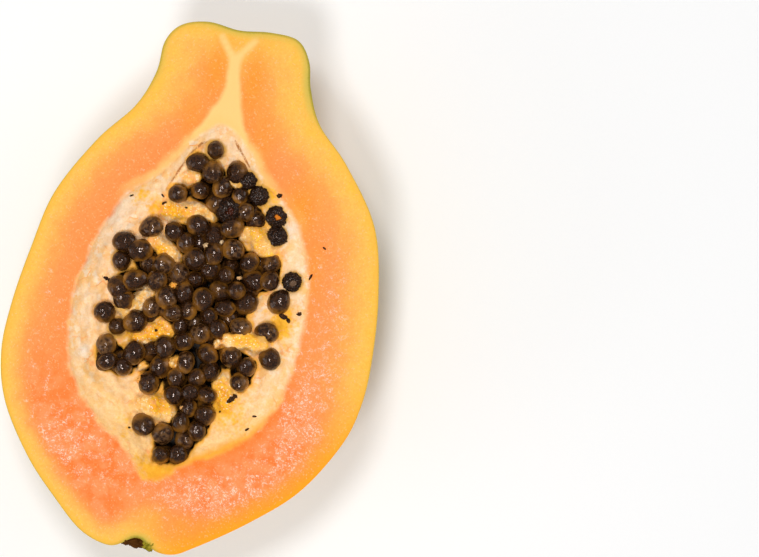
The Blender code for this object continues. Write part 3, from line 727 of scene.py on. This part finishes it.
# Round the heap the pulp is yellow-orange, its own colour. Under the crowded heap the lining is painted
# brown and then near black: painted shade in the gaps between the seeds, with some moist stain in the
# brown.
cream = blend_node(tree, mask_node(tree, heap_level, 0.36, 0.62), cream, (0.95, 0.44, 0.055))
cream = blend_node(tree, mask_node(tree, heap_level, 0.66, 0.82), cream, (0.16, 0.07, 0.015))
cream = blend_node(tree, mask_node(tree, heap_level, 0.80, 0.92), cream, (0.018, 0.009, 0.004))
# A brown halo round each single seed: partly stain of the pulp, partly painted shade where the seed sits.
lone_level = sway_node(tree, attribute_node(tree, "lone_way"), patches, 2.4)
cream = blend_node(tree, mask_node(tree, lone_level, 4.0, 2.8), cream, (0.74, 0.38, 0.07))

rim_level = sway_node(tree, attribute_node(tree, "rim_way"), clouds, 3.5)
golden_rim = math_node(tree, "MULTIPLY", golden, mask_node(tree, rim_level, 3.2, 0.6))
cream = blend_node(tree, golden_rim, cream, (1.0, 0.42, 0.03))
deep_rim = math_node(tree, "MULTIPLY", golden, mask_node(tree, rim_level, -4.5, -0.8))
flesh = blend_node(tree, math_node(tree, "MULTIPLY", deep_rim, 0.6), flesh, (1.0, 0.195, 0.010))
pale_rim = mask_node(tree, rim_level, -3.4, -0.7)
pale_rim = math_node(tree, "MULTIPLY", attribute_node(tree, "apex"), pale_rim)
flesh = blend_node(tree, math_node(tree, "MULTIPLY", pale_rim, 0.8), flesh, (1.0, 0.58, 0.18))
lining_share = mask_node(tree, rim_level, -1.0, 1.0)
surface = blend_node(tree, lining_share, flesh, cream)
tree.links.new(surface, shader.inputs["Base Color"])
wetness = math_node(tree, "MAXIMUM", fleck_glint_share, math_node(tree, "MULTIPLY", lining_share, 0.45))
gloss = tree.nodes.new("ShaderNodeMapRange")
gloss.inputs["To Min"].default_value = 0.75
gloss.inputs["To Max"].default_value = 0.3
tree.links.new(wetness, gloss.inputs["Value"])
tree.links.new(gloss.outputs["Result"], shader.inputs["Roughness"])
shader.inputs["IOR"].default_value = 1.36
shader.inputs["Subsurface Weight"].default_value = 0.06
shader.inputs["Subsurface Radius"].default_value = (1.0, 0.45, 0.2)
shader.inputs["Subsurface Scale"].default_value = 1.5 * MM
relief = math_node(tree, "ADD", grain, math_node(tree, "MULTIPLY", fleck_glint_share, 0.4))
relief = math_node(tree, "ADD", relief, math_node(tree, "MULTIPLY", crumbs, lobe_share))
bump_node(tree, shader, relief, 0.4, 0.25)

skin_look, tree, place, shader = new_material("papaya_skin", 0.38)
grain, clouds, threads = grain_node(tree, place, 2.0)[:3]
blush = noise_node(tree, place, 30.0, 3.0)
skin = ramp_node(tree, blush, [
    (0.0, (0.16, 0.23, 0.025)), (0.38, (0.42, 0.36, 0.035)),
    (0.5, (0.83, 0.46, 0.035)), (1.0, (0.90, 0.40, 0.03)),
])
scars = math_node(tree, "MULTIPLY", threads, mask_node(tree, clouds, 0.54, 0.72))
skin = blend_node(tree, scars, skin, (0.44, 0.26, 0.045))
skin = blend_node(tree, mask_node(tree, clouds, 0.60, 0.75), skin, (0.60, 0.42, 0.06))
tree.links.new(skin, shader.inputs["Base Color"])
shader.inputs["Coat Weight"].default_value = 0.25
shader.inputs["Coat Roughness"].default_value = 0.25
bump_node(tree, shader, grain, 0.15, 0.2)

fruit_mesh.materials.append(flesh_look)
fruit_mesh.materials.append(skin_look)
fruit_mesh.polygons.foreach_set("material_index", in_skin.astype(np.int32))
fruit_mesh.polygons.foreach_set("use_smooth", np.ones(len(faces), dtype=bool))
bm = bmesh.new()
bm.from_mesh(fruit_mesh)
bmesh.ops.remove_doubles(bm, verts=bm.verts, dist=1e-6)
for rib in bm.edges:
    rib.smooth = len({face.material_index for face in rib.link_faces}) == 1
bm.to_mesh(fruit_mesh)
bm.free()
fruit = bpy.data.objects.new("papaya_flesh", fruit_mesh)
bpy.context.scene.collection.objects.link(fruit)
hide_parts("flesh")
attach(fruit, "root")

# The seeds are nearly black wrinkled balls, each in a clear wet coat, with a painted amber glow to
# one side as of light through the coat. Those of the heap lie on others below, which are painted
# darker as shade, and the single ones are half sunk in the lining.
SEED_RADIUS = 3.15
SEED_SPREAD = 0.45
HEAP_HIGH = -1.9
HEAP_LOW = -5.4
HEAP_UNEVEN = 1.2
LOWER_Z = -6.4
LOWER_UNEVEN = 0.8
LOWER_REACH = 4.5
LOWER_SPACING = 4.4
LOWER_CROWD = BED_LEVEL + 0.22
LONE_RISE = 0.4
LONE_TOP = 0.8
GLOW_LEAN = 0.5
SHADE_RISE = 4.0
WRINKLES = ((4.0, 0.45), (1.5, 0.15), (0.8, 0.03))


def spread_in_height(seeds, rounds=40, nesting=0.86):
    """Moves crowded seeds apart, mostly up and down, so that each lies on its neighbours."""
    places = np.array([place for place, _ in seeds])
    radii = np.array([radius for _, radius in seeds])
    odd = np.where(np.arange(len(places)) % 2, 1.0, -1.0)
    for _ in range(rounds):
        apart = places[:, None] - places[None]
        distance = np.linalg.norm(apart, axis=2) + np.eye(len(places)) * FAR
        overlap = np.clip(nesting * (radii[:, None] + radii[None]) - distance, 0.0, None)
        push = (apart / distance[..., None] * overlap[..., None]).sum(1)
        places += push * (0.05, 0.05, 0.3)
        places[:, 2] += 0.05 * odd * overlap.sum(1)
        places[:, 2] = np.clip(places[:, 2], HEAP_LOW, HEAP_HIGH)
    return list(zip(places, radii))


def lower_seeds(draw, tries=2500):
    """Seeds under the heap, at random places between those that show."""
    placed = []
    for _ in range(tries):
        turn = draw.uniform(0.0, math.tau)
        near = heap_spots[draw.randrange(len(heap_spots))]
        flat = near + draw.uniform(0.0, LOWER_REACH) * np.array((math.cos(turn), math.sin(turn)))
        room = min([np.linalg.norm(flat - place[:2]) for place, _ in placed], default=FAR)
        if room > LOWER_SPACING and crowd(flat[None])[0] > LOWER_CROWD:
            level = LOWER_Z + draw.uniform(-LOWER_UNEVEN, LOWER_UNEVEN)
            placed.append((np.array((*flat, level)), SEED_RADIUS))
    return placed


def ball(divisions):
    """The points and triangles of a round ball of radius 1."""
    bm = bmesh.new()
    bmesh.ops.create_icosphere(bm, subdivisions=divisions, radius=1.0)
    unit = np.array([vert.co[:] for vert in bm.verts])
    triangles = np.array([[vert.index for vert in face.verts] for face in bm.faces])
    bm.free()
    return unit, triangles


def add_piece(name, shapes, triangles, node, slot, look, **values):
    """One object of many like shapes, with values kept for each vertex."""
    mesh = bpy.data.meshes.new(name)
    size = len(shapes[0])
    faces = np.concatenate([triangles + size * number for number in range(len(shapes))])
    mesh.from_pydata([tuple(p) for p in (np.concatenate(shapes) + TO_WORLD) * MM], [], faces.tolist())
    for label, kept in values.items():
        store(mesh, label, np.concatenate(kept))
    mesh.polygons.foreach_set("use_smooth", np.ones(len(mesh.polygons), dtype=bool))
    mesh.materials.append(look)
    made = bpy.data.objects.new(name, mesh)
    bpy.context.scene.collection.objects.link(made)
    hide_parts(node)
    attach(made, "root")
    return mesh


def add_seeds(name, seeds, divisions, node, draw, dark_below):
    """A piece of whole seeds, each turned and wrinkled in its own way, with painted shade below a level.
    """
    unit, triangles = ball(divisions)
    shapes, kinds, glow_sides, shades = [], [], [], []
    for number, (place, radius) in enumerate(seeds):
        lengths = (draw.uniform(1.0, 1.2), 1.0, draw.uniform(0.88, 0.98))
        turn = np.eye(3)
        for axis in "XYZ":
            turn = turn @ np.array(Matrix.Rotation(draw.uniform(0.0, math.tau), 3, axis))
        swell = np.full(len(unit), radius)
        for size, rise in WRINKLES:
            away = Vector((37.0 * number, size, 0.0))
            lumps = [noise.noise(Vector(point) * radius / size + away) for point in unit]
            swell += rise * np.array(lumps)
        shape = (unit * lengths * swell[:, None]) @ turn.T
        lean = (draw.uniform(-GLOW_LEAN, GLOW_LEAN), draw.uniform(-GLOW_LEAN, GLOW_LEAN), 1.0)
        facing = shape @ np.array(Vector(lean).normalized()) / np.linalg.norm(shape, axis=1)
        shapes.append(shape + place)
        kinds.append(np.full(len(unit), draw.random()))
        glow_sides.append(1.0 - np.clip(facing, 0.0, 1.0))
        shades.append(soft_step(shapes[-1][:, 2], dark_below, dark_below + SHADE_RISE))
    add_piece(name, shapes, triangles, node, "papaya_seeds", seed_look,
              kind=kinds, side=glow_sides, shade=shades)


seed_look, tree, place, shader = new_material("wet_seed", 0.06)
grain, clouds = grain_node(tree, place, 0.8)[:2]
dark_share = mask_node(tree, grain, 0.35, 0.65)
dark = blend_node(tree, dark_share, (0.009, 0.0040, 0.002), (0.050, 0.017, 0.005))
kind = attribute_node(tree, "kind")
# Painted glow: each seed's coat turns amber to one side, as where light comes through the clear coat.
painted_glow_side = sway_node(tree, attribute_node(tree, "side"), clouds, 2.4)
painted_glow_share = mask_node(tree, painted_glow_side, 0.20, 1.10)
painted_glow_share = math_node(tree, "MULTIPLY", painted_glow_share, mask_node(tree, kind, -0.3, 0.7))
coat = blend_node(tree, painted_glow_share, dark, (0.31, 0.125, 0.016))
wrinkle = noise_node(tree, place, 1.3, 2.0)
film = sway_node(tree, kind, wrinkle, 1.8)
film_share = math_node(tree, "MULTIPLY", mask_node(tree, film, 0.80, 1.15), 0.6)
coat = blend_node(tree, film_share, coat, (0.19, 0.092, 0.034))
# Painted shade: below the level kept in the shade value the seeds turn near black, as in the shade under
# the heap.
coat = blend_node(tree, attribute_node(tree, "shade"), (0.010, 0.004, 0.0015), coat)
tree.links.new(coat, shader.inputs["Base Color"])
shader.inputs["IOR"].default_value = 1.45
shader.inputs["Specular Tint"].default_value = (1.0, 0.84, 0.78, 1.0)
bump_node(tree, shader, wrinkle, 0.65, 0.40)

seed_draw = random.Random(7)
heap = []
for x, y in HEAP_SEEDS[:-1]:
    radius = SEED_RADIUS + seed_draw.uniform(-SEED_SPREAD, SEED_SPREAD)
    heap.append((np.array((x, y, HEAP_HIGH - seed_draw.uniform(0.0, HEAP_UNEVEN))), radius))
add_seeds("seed_heap", spread_in_height(heap), 4, "seeds", seed_draw, -6.0)
add_seeds("lower_seeds", lower_seeds(seed_draw), 3, "seeds", seed_draw, -6.5)

lone = []
for x, y, radius in LONE_SEEDS:
    flat = np.array([(x, y)])
    level = lining_heights(flat, way_to_path(flat, rim))[0]
    lone.append((np.array((x, y, min(level + LONE_RISE * radius, LONE_TOP - radius))), radius))
add_seeds("lone_seeds", lone, 4, "flesh", seed_draw, -9.0)

# Six seeds were torn open by the knife. Each is a black crumbly ball, and three have a small pit
# in the top that shows their orange, grey or dark red inside.
TORN_HEIGHT = 0.7
TORN_RISE = 0.35
TORN_TOP = 0.6
TORN_HEAP_LEVEL = -2.6
PIT_DEPTH = 0.35
PIT_CENTRE = (0.12, -0.08)
CRUMBLE = ((2.4, 0.10), (6.0, 0.13), (11.0, 0.07))

torn_look, tree, place, shader = new_material("torn_seed", 0.12)
grain = grain_node(tree, place, 0.7)["Grain"]
husk_share = mask_node(tree, grain, 0.42, 0.68)
husk = blend_node(tree, husk_share, (0.005, 0.0020, 0.0010), (0.042, 0.014, 0.004))
pit_colour = tree.nodes.new("ShaderNodeAttribute")
pit_colour.attribute_name = "pit_colour"
pit_level = sway_node(tree, attribute_node(tree, "pit"), grain, 1.2)
husk = blend_node(tree, mask_node(tree, pit_level, 0.35, 0.75), husk, pit_colour.outputs["Color"])
tree.links.new(husk, shader.inputs["Base Color"])
shader.inputs["IOR"].default_value = 1.36
shader.inputs["Specular Tint"].default_value = (1.0, 0.86, 0.80, 1.0)
bump_node(tree, shader, grain, 0.5, 0.3)

unit, triangles = ball(5)
shapes, pits, colours = [], [], []
for number, (x, y, radius, pit_share, inside) in enumerate(TORN_SEEDS):
    flat = np.array([(x, y)])
    level = lining_heights(flat, way_to_path(flat, rim))[0]
    if number == len(TORN_SEEDS) - 1:
        level = TORN_HEAP_LEVEL
    ragged = np.zeros(len(unit))
    for pitch, rise in CRUMBLE:
        away = Vector((9.0 * number, pitch, 0.0))
        ragged += rise * np.array([noise.noise(Vector(p) * pitch + away) for p in unit])
    shape = unit * (1 + ragged)[:, None] * radius
    shape[:, 2] *= TORN_HEIGHT
    across = np.hypot(unit[:, 0] - PIT_CENTRE[0], unit[:, 1] - PIT_CENTRE[1]) + 1.5 * ragged
    in_pit = soft_step(pit_share - across, -0.08, 0.08) * (unit[:, 2] > 0) * (pit_share > 0)
    shape[:, 2] -= PIT_DEPTH * radius * in_pit
    middle = min(level + TORN_RISE * radius, TORN_TOP - TORN_HEIGHT * radius)
    shapes.append(shape + (x, y, middle))
    pits.append(in_pit)
    colours.append(np.tile((*inside, 1.0), (len(unit), 1)))
torn_mesh = add_piece("torn_seeds", shapes, triangles, "flesh", "papaya_seeds", torn_look, pit=pits)
layer = torn_mesh.attributes.new("pit_colour", "FLOAT_COLOR", "POINT")
layer.data.foreach_set("color", np.concatenate(colours).astype(np.float32).ravel())

# Small black shreds of torn seed coat have dried on the cut face and the lining. Each is a thin
# ragged flake, about half a millimetre thick, that sticks in the surface.
SCRAPS = [
    (19.0, 32.2, 1.5, 1.2, 20), (34.9, 19.2, 1.1, 0.5, -30), (32.4, 10.1, 1.9, 0.6, 70),
    (31.3, -1.3, 2.0, 1.0, 20), (28.3, -4.0, 1.8, 1.1, -40), (26.7, -3.2, 3.2, 1.4, -16),
    (24.3, -2.4, 1.8, 0.5, -10), (23.1, -33.8, 1.6, 0.6, 5), (21.8, -38.0, 1.2, 0.6, 40),
    (15.5, -30.1, 2.6, 1.3, 50), (16.4, -28.9, 1.6, 0.9, -20), (-28.0, -1.2, 2.6, 1.1, -15),
    (-26.6, -1.6, 1.6, 1.2, 30), (-7.8, 23.8, 0.8, 0.5, 0), (-14.5, 24.0, 1.4, 0.8, 30),
    (-10.2, -13.8, 0.9, 0.7, 0), (-13.0, -43.8, 0.7, 0.5, 0), (-24.5, 24.5, 1.3, 0.5, 25),
    (12.8, -34.3, 0.8, 0.5, 60), (-15.5, 26.2, 1.2, 0.5, -40),
]
SCRAP_DEPTH = 0.5
SCRAP_LIFT = 0.1


def shred(unit, length, breadth, depth, turn, seed):
    """A ragged flat shred about a length by a breadth by a depth, turned in its plane."""
    ragged = np.array([noise.noise(Vector(p) * 2.2 + Vector((seed, 0, 0))) for p in unit])
    ragged += 0.6 * np.array([noise.noise(Vector(p) * 5.0 + Vector((seed, 0, 0))) for p in unit])
    shape = unit * (1 + 0.45 * ragged)[:, None] * (length / 2, breadth / 2, depth / 2)
    return shape @ np.array(Matrix.Rotation(math.radians(turn), 3, "Z")).T


scrap_look, tree, place, shader = new_material("dry_scrap", 0.6)
grain = grain_node(tree, place, 0.8)["Grain"]
crust_share = mask_node(tree, grain, 0.4, 0.6)
crust = blend_node(tree, crust_share, (0.010, 0.003, 0.001), (0.075, 0.026, 0.005))
tree.links.new(crust, shader.inputs["Base Color"])
shader.inputs["IOR"].default_value = 1.25
bump_node(tree, shader, grain, 0.8, 0.4)

unit, triangles = ball(4)
shapes = []
for number, (x, y, length, breadth, turn) in enumerate(SCRAPS):
    flat = np.array([(x, y)])
    rim_reach = np.hypot(*(rim_points(rim, flat)[0] - HOLLOW_CENTRE))
    on_lining = np.hypot(*(flat[0] - HOLLOW_CENTRE)) < rim_reach
    level = lining_heights(flat, way_to_path(flat, rim))[0] if on_lining else 0.0
    flake = shred(unit, length, breadth, SCRAP_DEPTH, turn, 3.0 * number)
    shapes.append(flake + (x, y, level + SCRAP_LIFT))
add_piece("dark_scraps", shapes, triangles, "flesh", "papaya_seeds", scrap_look)

# Crumbs of the pulp have come off the lining and lie wedged between the seeds of the heap. They
# are pale and moist, and the riper ones are orange.
PULP_CRUMBS = [
    (-7.6, 0.4, 2.2, 2.0, 10, 1.0), (2.2, 8.9, 2.3, 1.7, 20, 0.3), (0.3, 13.6, 2.3, 1.9, 0, 0.2),
    (4.3, 15.6, 1.5, 1.2, 40, 0.0), (0.7, -4.4, 1.7, 1.2, 30, 0.8), (-12.5, -29.0, 2.4, 1.2, 70, 0.9),
    (11.5, 6.0, 1.5, 1.0, 15, 0.4), (1.5, -35.0, 1.5, 1.1, 60, 0.6), (-14.0, 1.6, 1.7, 1.0, 35, 0.5),
]
CRUMB_DEPTH = 4.0
CRUMB_Z = -2.6

crumb_look, tree, place, shader = new_material("pulp_crumb", 0.4)
grain = grain_node(tree, place, 1.0)["Grain"]
crumb = blend_node(tree, attribute_node(tree, "ripe"), (0.85, 0.62, 0.36), (0.95, 0.40, 0.035))
crumb = blend_node(tree, mask_node(tree, grain, 0.5, 0.8), crumb, (0.95, 0.66, 0.30))
tree.links.new(crumb, shader.inputs["Base Color"])
bump_node(tree, shader, grain, 0.6, 0.3)

shapes, ripe = [], []
for number, (x, y, length, breadth, turn, ripeness) in enumerate(PULP_CRUMBS):
    shapes.append(shred(unit, length, breadth, CRUMB_DEPTH, turn, 90.0 + number) + (x, y, CRUMB_Z))
    ripe.append(np.full(len(unit), ripeness))
add_piece("pulp_crumbs", shapes, triangles, "seeds", "papaya_flesh", crumb_look, ripe=ripe)

# The dry remains of the flower sit in the dip at the blossom end: brown shreds on the left, and
# olive green ones on the right. They are grown to the skin.
FLOWER_SCRAPS = [
    (-5.6, -77.0, 6.4, 2.8, -8, 4.0), (-7.4, -77.2, 3.0, 1.8, 25, 3.0), (-3.0, -76.7, 3.4, 2.0, -30, 3.6),
    (-1.3, -77.0, 4.6, 3.0, -20, 3.4), (-0.4, -76.9, 2.6, 2.2, 40, 3.0),
]
FLOWER_SINK = 0.45
OLIVE_FROM = -2.0

flower_look, tree, place, shader = new_material("dry_flower", 0.8)
grain = grain_node(tree, place, 1.2)["Grain"]
brown = blend_node(tree, grain, (0.035, 0.008, 0.0005), (0.13, 0.045, 0.003))
olive = blend_node(tree, mask_node(tree, grain, 0.4, 0.6), (0.19, 0.16, 0.006), (0.36, 0.28, 0.02))
olive_level = sway_node(tree, attribute_node(tree, "olive"), grain, 0.8)
petals = blend_node(tree, mask_node(tree, olive_level, 0.4, 0.6), brown, olive)
tree.links.new(petals, shader.inputs["Base Color"])
shader.inputs["IOR"].default_value = 1.2
bump_node(tree, shader, grain, 0.7, 0.4)

shapes, olives = [], []
for number, (x, y, length, breadth, turn, depth) in enumerate(FLOWER_SCRAPS):
    petal = shred(unit, length, breadth, depth, turn, 50.0 + number)
    shapes.append(petal + (x, y, -FLOWER_SINK * depth))
    olives.append(np.full(len(unit), 1.0 if x > OLIVE_FROM else 0.0))
add_piece("flower_remains", shapes, triangles, "flesh", "papaya_flesh", flower_look, olive=olives)
